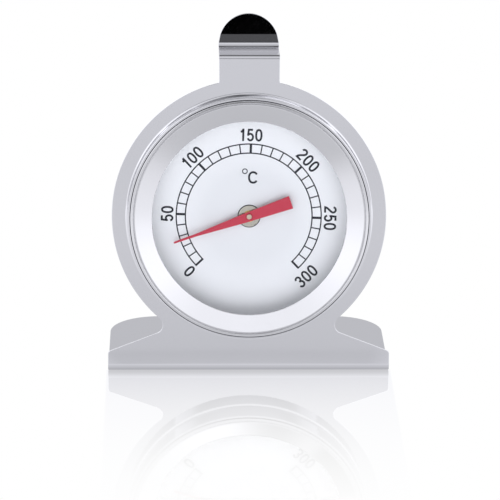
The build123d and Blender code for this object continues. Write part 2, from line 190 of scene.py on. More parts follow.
def weld(ob, dist=2e-7):
    """Joins coincident vertices but keeps each corner's own normal."""
    me = ob.data
    cn = [tuple(n.vector) for n in me.corner_normals]
    loops_v = [l.vertex_index for l in me.loops]
    keep = {}
    remap = []
    for v in me.vertices:
        key = (round(v.co.x / dist), round(v.co.y / dist), round(v.co.z / dist))
        remap.append(keep.setdefault(key, len(keep)))
    coords = [None] * len(keep)
    for v, r in zip(me.vertices, remap):
        coords[r] = tuple(v.co)
    faces, norms = [], []
    for p in me.polygons:
        idx = [remap[loops_v[i]] for i in p.loop_indices]
        ns = [cn[i] for i in p.loop_indices]
        q, nn = [], []
        for a, b in zip(idx, ns):
            if a not in q:
                q.append(a); nn.append(b)
        if len(q) > 2:
            faces.append(q); norms.extend(nn)
    new = bpy.data.meshes.new(me.name)
    new.from_pydata(coords, [], faces)
    new.polygons.foreach_set("use_smooth", [True] * len(new.polygons))
    new.normals_split_custom_set(norms)
    name = me.name
    ob.data = new
    bpy.data.meshes.remove(me)
    new.name = name
    return ob


# ------------------------------------------------------------------ materials
def material(name):
    m = bpy.data.materials.new(name)
    m.use_nodes = True
    nt = m.node_tree
    nt.nodes.clear()
    out = nt.nodes.new("ShaderNodeOutputMaterial")
    b = nt.nodes.new("ShaderNodeBsdfPrincipled")
    nt.links.new(b.outputs[0], out.inputs[0])
    return m, nt, b


def node(nt, kind, **kw):
    n = nt.nodes.new(kind)
    for k, v in kw.items():
        if k in n.inputs:
            n.inputs[k].default_value = v
        else:
            setattr(n, k, v)
    return n


def mapped_noise(nt, scale, stretch=(1, 1, 1), detail=3.0, rough=0.55):
    tc = nt.nodes.new("ShaderNodeTexCoord")
    mp = node(nt, "ShaderNodeMapping")
    mp.inputs["Scale"].default_value = stretch
    nz = node(nt, "ShaderNodeTexNoise", Scale=scale, Detail=detail, Roughness=rough)
    nt.links.new(tc.outputs["Object"], mp.inputs["Vector"])
    nt.links.new(mp.outputs[0], nz.inputs["Vector"])
    return nz


def ranged(nt, src, a, b, lo=0.3, hi=0.7):
    mr = node(nt, "ShaderNodeMapRange")
    mr.inputs["From Min"].default_value = lo
    mr.inputs["From Max"].default_value = hi
    mr.inputs["To Min"].default_value = a
    mr.inputs["To Max"].default_value = b
    nt.links.new(src, mr.inputs["Value"])
    return mr.outputs["Result"]


def mixcol(nt, fac, a, b):
    mx = nt.nodes.new("ShaderNodeMix")
    mx.data_type = "RGBA"
    mx.inputs["A"].default_value = (*a, 1) if len(a) == 3 else a
    mx.inputs["B"].default_value = (*b, 1) if len(b) == 3 else b
    nt.links.new(fac, mx.inputs["Factor"])
    return mx.outputs["Result"]


def metal(name, col, rough, grain=(1, 1, 1), grain_scale=900.0, grain_bump=0.03, rough_var=0.04, col_var=0.03, wear=None, aniso=0.0):
    """Bare metal: slight colour drift, roughness patches, and a fine directional grain in the bump."""
    m, nt, b = material(name)
    b.inputs["Metallic"].default_value = 1.0
    b.inputs["Anisotropic"].default_value = aniso
    big = mapped_noise(nt, 60.0, (1, 1, 1), 4.0)
    c0 = tuple(max(0.0, c * (1 - col_var)) for c in col)
    c1 = tuple(min(1.0, c * (1 + col_var)) for c in col)
    nt.links.new(mixcol(nt, big.outputs["Fac"], c0, c1), b.inputs["Base Color"])
    fine = mapped_noise(nt, grain_scale, grain, 2.0)
    add = node(nt, "ShaderNodeMath", operation="ADD")
    nt.links.new(ranged(nt, big.outputs["Fac"], rough - rough_var, rough + rough_var), add.inputs[0])
    nt.links.new(ranged(nt, fine.outputs["Fac"], -rough_var * 0.5, rough_var * 0.5), add.inputs[1])
    nt.links.new(add.outputs[0], b.inputs["Roughness"])
    bp = node(nt, "ShaderNodeBump", Strength=grain_bump, Distance=0.00002)
    nt.links.new(fine.outputs["Fac"], bp.inputs["Height"])
    nt.links.new(bp.outputs[0], b.inputs["Normal"])
    return m


STEEL = metal("stand_steel_polished", (0.60, 0.60, 0.62), 0.055, (0.15, 6, 6), 700.0, 0.015, 0.01, 0.01)
BEZEL = metal("bezel_steel_satin", (0.60, 0.60, 0.615), 0.12, (1, 1, 1), 1400.0, 0.05, 0.03, 0.012)
CASE = metal("case_steel_drawn", (0.55, 0.55, 0.57), 0.28, (1, 1, 1), 1200.0, 0.06, 0.04, 0.03)
RING = metal("ring_steel_stamped", (0.46, 0.46, 0.48), 0.33, (1, 1, 1), 1500.0, 0.08, 0.06, 0.05)
SPACER = metal("spacer_aluminium_matt", (0.55, 0.55, 0.56), 0.38, (1, 1, 8), 1500.0, 0.08, 0.05, 0.03)
BRASS = metal("movement_brass", (0.72, 0.56, 0.28), 0.26, (1, 1, 1), 1500.0, 0.06, 0.05, 0.05)
BUSH = metal("bush_nickel", (0.52, 0.49, 0.42), 0.3, (1, 1, 1), 1500.0, 0.05, 0.04, 0.04)
SPINDLE = metal("spindle_steel_ground", (0.64, 0.54, 0.42), 0.3, (1, 1, 1), 1500.0, 0.04, 0.04, 0.04)
COIL = metal("coil_bimetal_strip", (0.42, 0.38, 0.33), 0.32, (1, 1, 10), 900.0, 0.08, 0.06, 0.08)
CLIP = metal("clip_spring_steel", (0.3, 0.3, 0.32), 0.3, (1, 1, 1), 1500.0, 0.06, 0.05, 0.05)
RIVET = metal("rivet_aluminium", (0.6, 0.6, 0.62), 0.3, (1, 1, 1), 1500.0, 0.06, 0.05, 0.04)


def paint(name, col, rough, drift, scale, spec=0.5, coat=0.0, bump=0.02, bump_scale=1800.0, dirt=None):
    m, nt, b = material(name)
    b.inputs["Specular IOR Level"].default_value = spec
    b.inputs["Coat Weight"].default_value = coat
    b.inputs["Coat Roughness"].default_value = 0.12
    big = mapped_noise(nt, scale, (1, 1, 1), 4.0)
    c0 = tuple(max(0.0, c * (1 - drift)) for c in col)
    c1 = tuple(min(1.0, c * (1 + drift)) for c in col)
    nt.links.new(mixcol(nt, big.outputs["Fac"], c0, c1), b.inputs["Base Color"])
    nt.links.new(ranged(nt, big.outputs["Fac"], rough - 0.05, rough + 0.05), b.inputs["Roughness"])
    fine = mapped_noise(nt, bump_scale, (1, 1, 1), 3.0)
    bp = node(nt, "ShaderNodeBump", Strength=bump, Distance=0.00003)
    nt.links.new(fine.outputs["Fac"], bp.inputs["Height"])
    nt.links.new(bp.outputs[0], b.inputs["Normal"])
    return m


DIAL = paint("dial_white_lacquer", (0.917, 0.918, 0.926), 0.42, 0.006, 45.0, 0.4, 0.0, 0.03, 2500.0)
# painted light: the base colour is multiplied by a radial ramp, darker in the middle and lighter towards the rim, to
# offset the shade near the bezel
dn = DIAL.node_tree
d_bsdf = [n for n in dn.nodes if n.type == "BSDF_PRINCIPLED"][0]
d_tc = dn.nodes.new("ShaderNodeTexCoord")
d_vm = node(dn, "ShaderNodeVectorMath", operation="DISTANCE")
d_vm.inputs[1].default_value = tuple(face(0, 0, DIAL_FRONT))
dn.links.new(d_tc.outputs["Object"], d_vm.inputs[0])
d_painted_light_fac = ranged(dn, d_vm.outputs["Value"], 0.0, 1.0, 0.009, 0.0195)
d_painted_light_mx = dn.nodes.new("ShaderNodeMix")
d_painted_light_mx.data_type = "RGBA"
d_painted_light_mx.blend_type = "MULTIPLY"
d_painted_light_mx.inputs["Factor"].default_value = 1.0
d_src = d_bsdf.inputs["Base Color"].links[0].from_socket
dn.links.new(d_src, d_painted_light_mx.inputs["A"])
dn.links.new(mixcol(dn, d_painted_light_fac, (0.815, 0.82, 0.825), (1.01, 1.01, 1.01)), d_painted_light_mx.inputs["B"])
dn.links.new(d_painted_light_mx.outputs["Result"], d_bsdf.inputs["Base Color"])
# ink for the scale print, also used for the painted shadow ring round the bush
INK_AND_SHADE = paint("dial_ink_and_painted_shadow_grey", (0.02, 0.021, 0.028), 0.5, 0.08, 400.0, 0.3, 0.0, 0.03, 2500.0)
RED = paint("pointer_red_enamel", (0.49, 0.026, 0.055), 0.36, 0.04, 300.0, 0.45, 0.1, 0.04, 2200.0)


def glass_material():
    """Flat thin lens: straight-through light with a weak surface reflection and faint haze patches."""
    m = bpy.data.materials.new("lens_clear_glass")
    m.use_nodes = True
    nt = m.node_tree
    nt.nodes.clear()
    out = nt.nodes.new("ShaderNodeOutputMaterial")
    tr = nt.nodes.new("ShaderNodeBsdfTransparent")
    tr.inputs[0].default_value = (0.985, 0.99, 0.995, 1)
    gl = nt.nodes.new("ShaderNodeBsdfGlossy")
    fr = node(nt, "ShaderNodeFresnel", IOR=1.2)
    nz = mapped_noise(nt, 160.0, (1, 1, 1), 3.0)
    nt.links.new(ranged(nt, nz.outputs["Fac"], 0.01, 0.05), gl.inputs["Roughness"])
    lp = nt.nodes.new("ShaderNodeLightPath")
    mm = node(nt, "ShaderNodeMath", operation="SUBTRACT")
    mm.inputs[0].default_value = 1.0
    nt.links.new(lp.outputs["Is Shadow Ray"], mm.inputs[1])
    ge = nt.nodes.new("ShaderNodeNewGeometry")
    fs = node(nt, "ShaderNodeMath", operation="SUBTRACT")
    fs.inputs[0].default_value = 1.0
    nt.links.new(ge.outputs["Backfacing"], fs.inputs[1])
    k0 = node(nt, "ShaderNodeMath", operation="MULTIPLY")
    nt.links.new(fr.outputs[0], k0.inputs[0])
    nt.links.new(fs.outputs[0], k0.inputs[1])
    k = node(nt, "ShaderNodeMath", operation="MULTIPLY")
    nt.links.new(k0.outputs[0], k.inputs[0])
    nt.links.new(mm.outputs[0], k.inputs[1])
    mx = nt.nodes.new("ShaderNodeMixShader")
    nt.links.new(k.outputs[0], mx.inputs[0])
    nt.links.new(tr.outputs[0], mx.inputs[1])
    nt.links.new(gl.outputs[0], mx.inputs[2])
    nt.links.new(mx.outputs[0], out.inputs[0])
    return m


GLASS = glass_material()


def dress(ob, mat, body, replaces=None):
    ob.data.materials.clear()
    ob.data.materials.append(mat)
    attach(ob, body)
    if replaces:
        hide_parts(*([replaces] if isinstance(replaces, str) else replaces))
    return ob


# ------------------------------------------------------------------ stand: one folded sheet
pd, pin = (ST, CT), (CT, -ST)
sd_step, in_step = (cos(STEP_FALL), -sin(STEP_FALL)), (-sin(STEP_FALL), -cos(STEP_FALL))
sd_ton, in_ton = (sin(TONGUE_LEAN), cos(TONGUE_LEAN)), (cos(TONGUE_LEAN), -sin(TONGUE_LEAN))


def meet(p, d, q, e):
    k = ((q[0] - p[0]) * e[1] - (q[1] - p[1]) * e[0]) / (d[0] * e[1] - d[1] * e[0])
    return (p[0] + d[0] * k, p[1] + d[1] * k)


mid0 = (pin[0] * H, pin[1] * H)
m1 = meet(mid0, pd, (0, H), (1, 0))
crest = (CREST_V * ST, CREST_V * CT)
m2 = meet(mid0, pd, (crest[0] + in_step[0] * H, crest[1] + in_step[1] * H), sd_step)
heel = (crest[0] + STEP_LEN * sd_step[0], crest[1] + STEP_LEN * sd_step[1])
m3 = meet((heel[0] + in_ton[0] * H, heel[1] + in_ton[1] * H), sd_ton, (crest[0] + in_step[0] * H, crest[1] + in_step[1] * H), sd_step)
m4 = (m3[0] + sd_ton[0] * TONGUE_LEN, m3[1] + sd_ton[1] * TONGUE_LEN)
mids = [(BASE_REAR, H), m1, m2, m3, m4]

# pieces of the mid line: (kind, s0, s1, data); s equals v on the face plate
pieces = []
v1 = m1[0] * pd[0] + m1[1] * pd[1]
v2 = m2[0] * pd[0] + m2[1] * pd[1]


def corner(a, p, b, R):
    d1 = (p[0] - a[0], p[1] - a[1]); L1 = hypot(*d1); d1 = (d1[0] / L1, d1[1] / L1)
    d2 = (b[0] - p[0], b[1] - p[1]); L2 = hypot(*d2); d2 = (d2[0] / L2, d2[1] / L2)
    turn = atan2(d1[0] * d2[1] - d1[1] * d2[0], d1[0] * d2[0] + d1[1] * d2[1])
    return d1, d2, turn, R * tan(abs(turn) / 2)


c1 = corner(mids[0], mids[1], mids[2], FOLD_R)
c2 = corner(mids[1], mids[2], mids[3], CREST_R)
c3 = corner(mids[2], mids[3], mids[4], HEEL_R)
S_P0 = v1 + c1[3]
S_F0 = S_P0 - FOLD_R * abs(c1[2])
S_REAR = S_F0 - (hypot(mids[0][0] - m1[0], mids[0][1] - m1[1]) - c1[3])
S_P1 = v2 - c2[3]
S_C1 = S_P1 + CREST_R * abs(c2[2])
S_H0 = S_C1 + hypot(m3[0] - m2[0], m3[1] - m2[1]) - c2[3] - c3[3]
S_H1 = S_H0 + HEEL_R * abs(c3[2])
S_TOP = S_H1 + TONGUE_LEN - c3[3]


def on_line(origin, d, s_origin, s):
    return (origin[0] + d[0] * (s - s_origin), origin[1] + d[1] * (s - s_origin)), d


def on_arc(p, c, R, s_start, s):
    d1, d2, turn, tl = c
    sg = 1 if turn > 0 else -1
    t1 = (p[0] - d1[0] * tl, p[1] - d1[1] * tl)
    cc = (t1[0] - d1[1] * R * sg, t1[1] + d1[0] * R * sg)
    f = (s - s_start) / R * sg
    d = (d1[0] * cos(f) - d1[1] * sin(f), d1[0] * sin(f) + d1[1] * cos(f))
    return (cc[0] + d[1] * R * sg, cc[1] - d[0] * R * sg), d


def mid_at(s):
    if s <= S_F0:
        return on_line(m1, c1[0], S_F0 + c1[3], s)
    if s < S_P0:
        return on_arc(m1, c1, FOLD_R, S_F0, s)
    if s <= S_P1:
        return on_line(m1, c1[1], v1, s)
    if s < S_C1:
        return on_arc(m2, c2, CREST_R, S_P1, s)
    if s <= S_H0:
        return on_line(m2, c2[1], S_C1 - c2[3], s)
    if s < S_H1:
        return on_arc(m3, c3, HEEL_R, S_H0, s)
    return on_line(m3, c3[1], S_H1 - c3[3], s)


def fold_pt(u, s, w):
    """w from 0 at the show face to -SHEET at the other face."""
    (y, z), d = mid_at(s)
    n = (-d[1], d[0])                          # left of travel: bottom of the base, front of the plate, top of the step
    k = w + H
    return Vector((u, y + n[0] * k + Y0, z + n[1] * k)) * MM


SPRUNG = []                                # filled in once the outline is known: (from, to, degrees)


def fold_dir(nu, ns, nw, s):
    _, d = mid_at(s)
    n = (-d[1], d[0])
    for (a, b, deg) in SPRUNG:
        if a <= s <= b:
            k = radians(deg)
            n = (n[0] * cos(k) - n[1] * sin(k), n[0] * sin(k) + n[1] * cos(k))
    return Vector((nu, d[0] * ns + n[0] * nw, d[1] * ns + n[1] * nw)).normalized()


def arc_pts(c, r, a0, a1, n, inner=False):
    """Outline points with outward normals; inner is a concave fillet."""
    out = []
    for i in range(n + 1):
        a = radians(a0 + (a1 - a0) * i / n)
        sg = -1 if inner else 1
        out.append((c[0] + r * cos(a), c[1] + r * sin(a), sg * cos(a), sg * sin(a)))
    return out


dl = hypot(FOOT_HALF - EAR_IN[0], EAR_IN[1] - EAR_V)
sdn = (-(FOOT_HALF - EAR_IN[0]) / dl, (EAR_IN[1] - EAR_V) / dl)
snn = (sdn[1], -sdn[0])
px, pv = FOOT_HALF + snn[0] * NOTCH_R, EAR_V + snn[1] * NOTCH_R - DIAL_V
pb = px * sdn[0] + pv * sdn[1]
pk = -pb - sqrt(pb * pb - (px * px + pv * pv - (DISC_R + NOTCH_R) ** 2))
nc = (px + sdn[0] * pk, pv + sdn[1] * pk + DIAL_V)
a_line = math.degrees(atan2(-snn[1], -snn[0]))
a_disc = math.degrees(atan2(DIAL_V - nc[1], -nc[0]))
turn_ = atan2(abs(sdn[0]), sdn[1])
el_ = EAR_R * tan(turn_ / 2)
ec = (FOOT_HALF - EAR_R, EAR_V - el_)
# small fillet where the neck leaves the disc
NF = 0.35
nk = (NECK_HALF + NF, DIAL_V + sqrt((DISC_R + NF) ** 2 - (NECK_HALF + NF) ** 2))
a_nk = math.degrees(atan2(DIAL_V - nk[1], -nk[0]))

right = []
rc = BASE_CORNER_R
right += [(0.0, S_REAR, 0, -1), (8.0, S_REAR, 0, -1)]
right += arc_pts((BASE_REAR_HALF - rc, S_REAR + rc), rc, -90, 0, 40)
right += [(FOOT_HALF, S_F0, 1, 0)]
FOLD_N = 14
fold_levels = [S_F0 + (S_P0 - S_F0) * i / FOLD_N for i in range(FOLD_N + 1)]
i_f0 = len(right) - 1
right += [(FOOT_HALF, s, 1, 0) for s in fold_levels[1:]]
i_p0 = len(right) - 1
right += [(FOOT_HALF, ec[1] - 0.2, 1, 0)]
right += arc_pts(ec, EAR_R, 0, math.degrees(atan2(snn[1], snn[0])), 10)
fine_in = (nc[0] - snn[0] * NOTCH_R, nc[1] - snn[1] * NOTCH_R)
right += [((ec[0] + fine_in[0]) / 2 * 0 + fine_in[0] + (-sdn[0]) * 1.0, fine_in[1] + (-sdn[1]) * 1.0, snn[0], snn[1])]
aa0, aa1 = a_line, a_disc
while aa1 > aa0:
    aa1 -= 360
if aa0 - aa1 > 200:
    aa1 += 360
right += arc_pts(nc, NOTCH_R, aa0, aa1, 24, inner=True)
d0 = math.degrees(atan2(nc[1] - DIAL_V, nc[0]))
d1_ = math.degrees(atan2(nk[1] - DIAL_V, nk[0]))
right += arc_pts((0, DIAL_V), DISC_R, d0, d1_, 110)[1:-1]
right += arc_pts(nk, NF, a_nk, -180, 8, inner=True) if a_nk < 0 else arc_pts(nk, NF, a_nk - 360, -180, 8, inner=True)
right += [(NECK_HALF, S_P1 - 0.4, 1, 0), (NECK_HALF, S_P1, 1, 0)]
i_p1 = len(right) - 1
CREST_N = 12
crest_levels = [S_P1 + (S_C1 - S_P1) * i / CREST_N for i in range(CREST_N + 1)]
BULGE = 0.07


def bulge(s):
    """The sheet swells a little at the tight folds."""
    k = 0.0
    for c, wd in (((S_P1 + S_C1) / 2, 0.9), ((S_H0 + S_H1) / 2, 1.4)):
        k += math.exp(-((s - c) / wd) ** 2)
    return BULGE * k


right += [(NECK_HALF, s, 1, 0) for s in crest_levels[1:]]
i_c1 = len(right) - 1
right += [(NECK_HALF, S_H0, 1, 0)]
i_h0 = len(right) - 1
HEEL_N = 16
heel_levels = [S_H0 + (S_H1 - S_H0) * i / HEEL_N for i in range(HEEL_N + 1)]
right += [(NECK_HALF, s, 1, 0) for s in heel_levels[1:]]
i_h1 = len(right) - 1
S_B = S_H1 + 1.75                          # top of the slightly sprung strip above the bend
S_DOME = S_TOP - TONGUE_HALF


def tongue_u(s):
    return TONGUE_HALF if s <= S_DOME else sqrt(max(0.0, TONGUE_HALF ** 2 - (s - S_DOME) ** 2))


right += [(tongue_u(S_B), S_B, 1, 0) if S_B <= S_DOME else (tongue_u(S_B), S_B, tongue_u(S_B) / TONGUE_HALF, (S_B - S_DOME) / TONGUE_HALF)]
i_b = len(right) - 1
right += [(tongue_u(S_B + 0.03), S_B + 0.03, 1, 0) if S_B + 0.03 <= S_DOME else (tongue_u(S_B + 0.03), S_B + 0.03, tongue_u(S_B + 0.03) / TONGUE_HALF, (S_B + 0.03 - S_DOME) / TONGUE_HALF)]
i_b2 = len(right) - 1
a_start = math.degrees(math.asin(max(0.0, min(1.0, (S_B + 0.03 - S_DOME) / TONGUE_HALF))))
right += arc_pts((0, S_DOME), TONGUE_HALF, a_start + 1.0, 90, 40)
right = [(u + (bulge(s) if s > S_P1 - 2.5 and abs(nu) > 0.9 and u > 6 else 0), s, nu, ns) for (u, s, nu, ns) in right]

EDGE = 0.11
rows_def = []
for k in range(4):
    a = radians(90 - 30 * k)
    rows_def.append((EDGE * (1 - cos(a)), -EDGE * (1 - sin(a)), cos(a), sin(a)))
for k in range(4):
    a = radians(-30 * k)
    rows_def.append((EDGE * (1 - cos(a)), -SHEET + EDGE * (1 + sin(a)), cos(a), sin(a)))

SPRUNG.append((S_H1 - 1e-6, S_B + 0.004, 2.6))
verts, normals, faces = [], [], []
R_idx, L_idx = [], []
for (u, s, nu, ns) in right:
    rr, ll = [], []
    for (ins, w, en, fn) in rows_def:
        uu, ss = u - nu * ins, s - ns * ins
        rr.append(len(verts)); verts.append(fold_pt(uu, ss, w)); normals.append(fold_dir(nu * en, ns * en, fn, ss))
        if u < 1e-9:
            ll.append(rr[-1])
        else:
            ll.append(len(verts)); verts.append(fold_pt(-uu, ss, w)); normals.append(fold_dir(-nu * en, ns * en, fn, ss))
    R_idx.append(rr); L_idx.append(ll)
nrow = len(rows_def)
for i in range(len(right) - 1):
    for k in range(nrow - 1):
        a, b, c, d = R_idx[i][k], R_idx[i][k + 1], R_idx[i + 1][k + 1], R_idx[i + 1][k]
        faces.append([a, b, c, d])
        a, b, c, d = L_idx[i][k], L_idx[i + 1][k], L_idx[i + 1][k + 1], L_idx[i][k + 1]
        faces.append([x for j, x in enumerate([a, b, c, d])])

centre = {}


def mid_vert(s, side):
    """Vertex on the centre line, front (0) or back (1)."""
    key = (round(s, 6), side)
    if key not in centre:
        w = 0.0 if side == 0 else -SHEET
        centre[key] = len(verts)
        verts.append(fold_pt(0, s, w)); normals.append(fold_dir(0, 0, 1 if side == 0 else -1, s))
    return centre[key]


HOLE_N = 256
hole = {}
for side in (0, 1):
    ring_ = []
    for j in range(HOLE_N):
        a = 2 * pi * j / HOLE_N
        ring_.append(len(verts))
        verts.append(fold_pt(ROOT_R * cos(a), DIAL_V + ROOT_R * sin(a), 0.0 if side == 0 else -SHEET))
        normals.append(fold_dir(0, 0, 1 if side == 0 else -1, DIAL_V))
    hole[side] = ring_


def cap(poly, side):
    faces.append(poly if side == 0 else poly[::-1])


for side in (0, 1):
    row = 0 if side == 0 else nrow - 1
    Rr = [r[row] for r in R_idx]
    Ll = [l[row] for l in L_idx]
    # base, one polygon
    cap(Rr[: i_f0 + 1] + [mid_vert(S_F0, side)] + Ll[1: i_f0 + 1][::-1], side)
    # fold strips
    for i in range(i_f0, i_p0):
        a, b = right[i][1], right[i + 1][1]
        cap([mid_vert(a, side), Rr[i], Rr[i + 1], mid_vert(b, side)], side)
        cap([Ll[i], mid_vert(a, side), mid_vert(b, side), Ll[i + 1]], side)
    # face plate in two halves round the hole
    q = HOLE_N // 4
    hr = [hole[side][(q - j) % HOLE_N] for j in range(2 * q + 1)]          # top, right side, bottom
    hl = [hole[side][(q + j) % HOLE_N] for j in range(2 * q + 1)]          # top, left side, bottom
    cap([mid_vert(S_P0, side)] + Rr[i_p0: i_p1 + 1] + [mid_vert(S_P1, side)] + hr, side)
    cap([mid_vert(S_P1, side)] + Ll[i_p0: i_p1 + 1][::-1] + [mid_vert(S_P0, side)] + hl[::-1], side)
    for i in list(range(i_p1, i_c1)) + [i_c1] + list(range(i_h0, i_h1)) + [i_h1, i_b]:
        a, b = right[i][1], right[i + 1][1]
        cap([mid_vert(a, side), Rr[i], Rr[i + 1], mid_vert(b, side)], side)
        cap([Ll[i], mid_vert(a, side), mid_vert(b, side), Ll[i + 1]], side)
    cap([mid_vert(S_B + 0.03, side)] + Rr[i_b2:] + Ll[i_b2:-1][::-1], side)

# drawn collar, turned from the sheet with a concave root and a rounded lip
lip = 0.16
ri = COLLAR_R - SHEET
prof = []
prof += arc(ROOT_R, COLLAR_ROOT, -COLLAR_ROOT, 270, 180, 14)
prof += seg((COLLAR_R, COLLAR_ROOT), (COLLAR_R, COLLAR_TOP - lip))[::1]
prof = [(r, h, nr, nh) for r, h, nr, nh in prof]
prof[-2:] = [(COLLAR_R, COLLAR_ROOT, 1, 0), (COLLAR_R, COLLAR_TOP - lip, 1, 0)]
prof += arc(COLLAR_R - lip, COLLAR_TOP - lip, lip, 0, 90, 6)
prof += arc(ri + lip, COLLAR_TOP - lip, lip, 90, 180, 6)
cb = COLLAR_ROOT + SHEET
prof += [(ri, COLLAR_TOP - lip, -1, 0), (ri, -SHEET + cb, -1, 0)]
prof += arc(ri + cb, -SHEET + cb, cb, 180, 270, 14)
rings = []
for i, (r, h, nr, nh) in enumerate(prof):
    if i == 0:
        rings.append(hole[0]); continue
    if i == len(prof) - 1:
        rings.append(hole[1]); continue
    row = []
    for j in range(HOLE_N):
        a = 2 * pi * j / HOLE_N
        row.append(len(verts))
        verts.append(face(r * cos(a), r * sin(a), h)); normals.append(face_dir(nr * cos(a), nr * sin(a), nh))
    rings.append(row)
for i in range(len(prof) - 1):
    if hypot(prof[i][0] - prof[i + 1][0], prof[i][1] - prof[i + 1][1]) < 1e-6:
        # same place: reuse the ring so no empty faces are made
        rings[i + 1] = rings[i] if i + 1 < len(prof) - 1 else rings[i + 1]
        continue
    for j in range(HOLE_N):
        k = (j + 1) % HOLE_N
        faces.append([rings[i][j], rings[i][k], rings[i + 1][k], rings[i + 1][j]])
bracket = make_mesh("stand_bracket_sheet", verts, faces, normals)
bracket = weld(bracket)
dress(bracket, STEEL, STAND, "stand_bracket")

# ------------------------------------------------------------------ bezel ring
bz = [
    (SKIRT_R, -2.1), (SKIRT_R, 4.7), (25.2, 4.86), (25.14, 5.05), (24.62, 5.09), (24.56, 4.82), (24.44, 4.82), (24.38, 4.99), (24.2, 4.99),
    (20.72, 3.98), (WINDOW_R, 3.9), (WINDOW_R, GLASS_FRONT + 0.03), (20.95, GLASS_FRONT + 0.03), (21.1, 3.67), (24.2, 4.56), (24.6, 4.45),
    (SKIRT_R - BEZEL_T, 4.2), (SKIRT_R - BEZEL_T, -2.05), (23.7, -2.05), (23.7, -2.45), (SKIRT_R, -2.45),
]
br = [0, 0.3, 0.3, 0.24, 0.2, 0.05, 0.05, 0.06, 0.12, 0.12, 0.06, 0.05, 0, 0, 0, 0, 0, 0, 0.1, 0.1, 0.3]
bp = rounded(bz, br, 8)
bp = [(r, h, nr, nh) for r, h, nr, nh in bp]
bezel = lathe("bezel_ring_turned", bp, 320)
dress(bezel, BEZEL, STAND, "bezel_ring")

# ------------------------------------------------------------------ glass
gp = rounded([(0.0, GLASS_BACK), (GLASS_R, GLASS_BACK), (GLASS_R, GLASS_FRONT), (0.0, GLASS_FRONT)][::-1][::-1], [0, 0.15, 0.15, 0], 4)
gp = [p for p in gp]
lens = lathe("glass_lens_clear", [p for p in gp if not (p[0] < 1e-6 and abs(p[2]) > 0.5)], 192, closed=False)
dress(lens, GLASS, STAND, "glass_lens")

# ------------------------------------------------------------------ dial plate and its print
dp = rounded([(1.62, DIAL_BACK), (DIAL_R, DIAL_BACK), (DIAL_R, DIAL_FRONT), (1.62, DIAL_FRONT)], [0.03, 0.05, 0.05, 0.03], 3)
dial = lathe("dial_plate_lacquered", dp, 192)
dress(dial, DIAL, STAND, "dial_plate")

PRINT_W = DIAL_FRONT + 0.006
PRINT_T = 0.012
PRINT_DX, PRINT_DY = -0.08, 0.02
RO, RI = 15.39, 13.45
START, SWEEP = 226.6, 270.0       # clockwise from the top, 0 to 300 degrees


def dial_ang(value):
    return radians(START + SWEEP * value / 300.0)


print_and_shade_v, print_and_shade_f = [], []


def ink_poly(pts):
    """A flat printed patch with a thin edge; pts run anticlockwise as seen from the front."""
    n = len(pts)
    b = len(print_and_shade_v)
    for (x, y) in pts:
        print_and_shade_v.append(face(x + PRINT_DX, y + PRINT_DY, PRINT_W + PRINT_T))
    for (x, y) in pts:
        print_and_shade_v.append(face(x + PRINT_DX, y + PRINT_DY, DIAL_FRONT + 0.001))
    print_and_shade_f.append(list(range(b, b + n)))
    print_and_shade_f.append(list(range(b + 2 * n - 1, b + n - 1, -1)))
    for i in range(n):
        j = (i + 1) % n
        print_and_shade_f.append([b + i, b + n + i, b + n + j, b + j])


def ring_band(r, t, a0, a1, n=220):
    """Printed arc line, clockwise angles from the top."""
    outer, inner = [], []
    for i in range(n + 1):
        a = a0 + (a1 - a0) * i / n
        outer.append(((r + t / 2) * sin(a), (r + t / 2) * cos(a)))
        inner.append(((r - t / 2) * sin(a), (r - t / 2) * cos(a)))
    b = len(print_and_shade_v)
    for w in (PRINT_W + PRINT_T, DIAL_FRONT + 0.001):
        for (x, y) in outer + inner:
            print_and_shade_v.append(face(x + PRINT_DX, y + PRINT_DY, w))
    m = n + 1
    for i in range(n):
        o0, o1, i0, i1 = b + i, b + i + 1, b + m + i, b + m + i + 1
        print_and_shade_f.append([o0, i0, i1, o1])
        q0 = 2 * m
        print_and_shade_f.append([o0 + q0, o1 + q0, i1 + q0, i0 + q0])
        print_and_shade_f.append([o0, o1, o1 + q0, o0 + q0])
        print_and_shade_f.append([i0, i0 + q0, i1 + q0, i1])
    print_and_shade_f.append([b, b + 2 * m, b + 3 * m, b + m])
    print_and_shade_f.append([b + n, b + m + n, b + 3 * m + n, b + 2 * m + n])


LINE = 0.27
A0, A1 = dial_ang(0), dial_ang(300)
half_end = 0.22
ring_band(RO, LINE, A0 - half_end / RO, A1 + half_end / RO)
ring_band(RI, LINE, A0 - half_end / RI, A1 + half_end / RI)
for k in range(31):
    a = dial_ang(10 * k)
    wdt = 0.5 if k % 5 == 0 else 0.26
    if k in (0, 30):
        wdt = 0.44
    dx, dy = sin(a), cos(a)
    px_, py_ = dy, -dx
    r0, r1 = RI + LINE / 2 - 0.01, RO - LINE / 2 + 0.01
    q = []
    for (r, sgn) in ((r0, 1), (r1, 1), (r1, -1), (r0, -1)):
        q.append((r * dx + sgn * px_ * wdt / 2, r * dy + sgn * py_ * wdt / 2))
    ink_poly(q)


def arc_c(cx, cy, rx, ry, a0, a1, n=14, p=2.0):
    """Centre line of an elliptic (or squarer, p > 2) arc, degrees anticlockwise."""
    out = []
    for i in range(n + 1):
        a = radians(a0 + (a1 - a0) * i / n)
        c_, s_ = cos(a), sin(a)
        out.append((cx + rx * math.copysign(abs(c_) ** (2 / p), c_), cy + ry * math.copysign(abs(s_) ** (2 / p), s_)))
    return out


